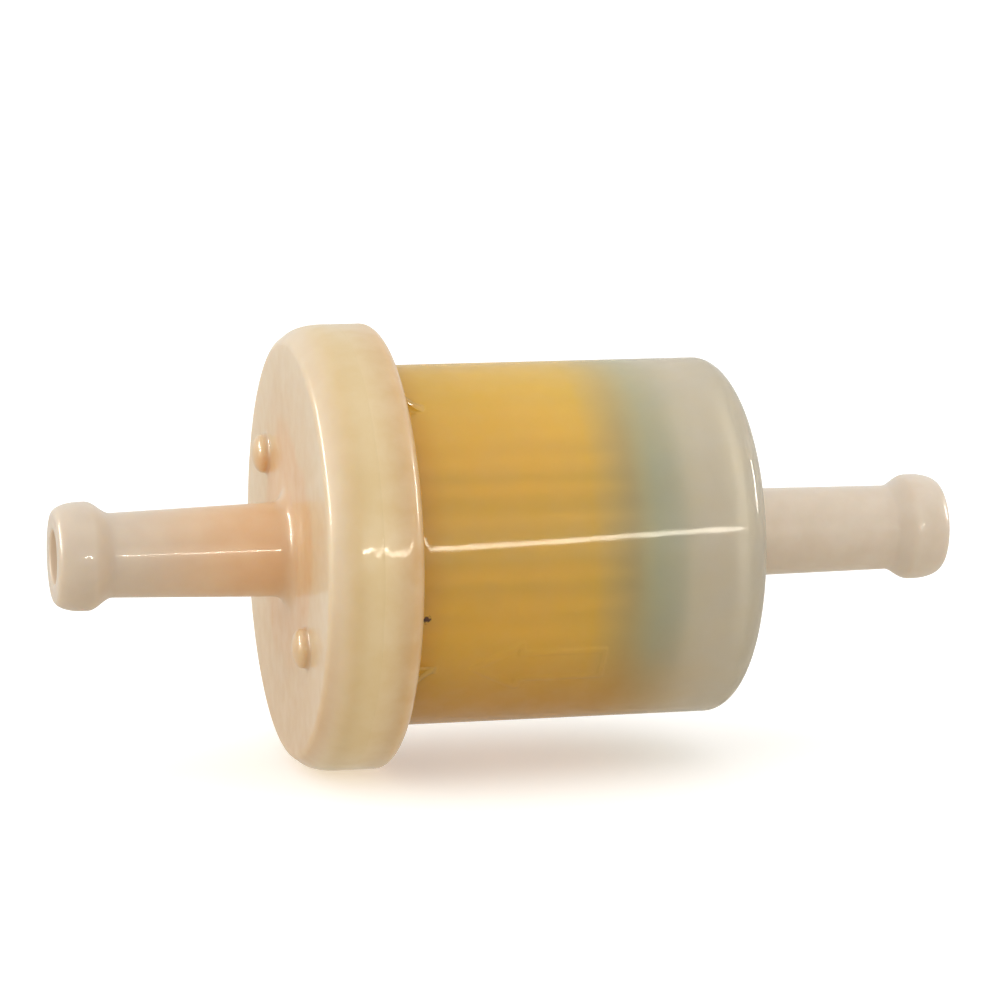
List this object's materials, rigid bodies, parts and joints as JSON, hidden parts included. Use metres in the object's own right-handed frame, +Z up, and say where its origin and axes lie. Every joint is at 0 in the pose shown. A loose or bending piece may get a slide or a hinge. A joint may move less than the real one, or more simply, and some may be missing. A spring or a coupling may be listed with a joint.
{
  "type": "fuel filter",
  "caption": "Translucent in-line fuel filter: a round cup and flanged cap with a beaded hose stem at each end, and a pleated paper element inside.",
  "frame": {"origin": "centre of the bounding box, on the filter's axis midway between the tips of the two stems", "axes": "+X along the axis, from the outlet stem on the cap to the inlet stem on the cup; +Z up"},
  "size_m": [0.0724, 0.0352, 0.0352],
  "materials": {
    "cap_plastic": "milky natural nylon, glossy, translucent",
    "cup_plastic": "milky natural nylon, glossy, more translucent where the wall is thin",
    "element_plastic": "natural moulded plastic",
    "closed_end_plastic": "blue-grey moulded plastic",
    "adhesive": "amber set glue",
    "filter_paper": "yellow resin-treated filter paper"
  },
  "bodies": {
    "root": {"flange_cap": "cap_plastic", "housing_cup": "cup_plastic", "open_end_ring": "element_plastic", "open_end_adhesive": "adhesive", "pleated_paper": "filter_paper", "paper_seam_strip": "adhesive", "support_core": "element_plastic", "closed_end_adhesive": "adhesive", "closed_end_cup": "closed_end_plastic"}
  },
  "joints": []
}
